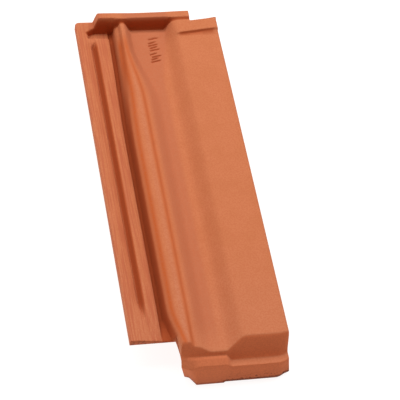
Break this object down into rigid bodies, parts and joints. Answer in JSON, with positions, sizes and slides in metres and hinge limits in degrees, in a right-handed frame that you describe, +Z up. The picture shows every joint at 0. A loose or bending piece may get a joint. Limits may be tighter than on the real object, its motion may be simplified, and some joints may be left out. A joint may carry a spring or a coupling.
{
  "type": "half roof tile",
  "caption": "Narrow interlocking clay roof tile with a side lock, a ridge and trough, a flat cover panel, a head lip and a turned-down nose.",
  "frame": {"origin": "middle of the footprint on the plane that the tile rests on", "axes": "+Y from the nose to the head, +X from the lock to the cover side, +Z up out of the weather face"},
  "size_m": [0.1722, 0.4726, 0.053],
  "materials": {
    "fired_clay": "matt unglazed terracotta"
  },
  "bodies": {
    "root": {"half_tile": "fired_clay"}
  },
  "joints": []
}
